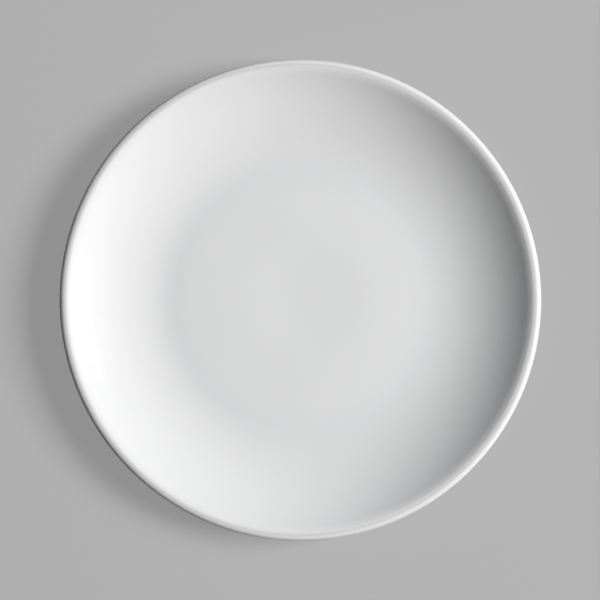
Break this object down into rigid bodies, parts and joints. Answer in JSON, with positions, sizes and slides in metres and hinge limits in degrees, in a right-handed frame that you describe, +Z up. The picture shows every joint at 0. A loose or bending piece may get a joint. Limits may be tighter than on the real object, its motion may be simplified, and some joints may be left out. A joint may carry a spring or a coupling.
{
  "type": "coupe dinner plate",
  "caption": "Round rimless dinner plate of glazed white ceramic: a shallow, faintly domed well curves up into a rolled lip, and a low bare foot ring carries it on the table.",
  "frame": {"origin": "middle of the foot ring, on the plane where it rests on the table", "axes": "+Z up along the plate's axis of revolution, out of the face; X and Y are alike, because the plate is round"},
  "size_m": [0.267, 0.267, 0.026],
  "materials": {
    "bare_clay": "fired, unglazed, ground smooth on the foot ring",
    "white_glaze": "glossy white glaze"
  },
  "bodies": {
    "root": {"clay_body": "bare_clay", "glaze_coat": "white_glaze", "base_glaze": "white_glaze"}
  },
  "joints": []
}
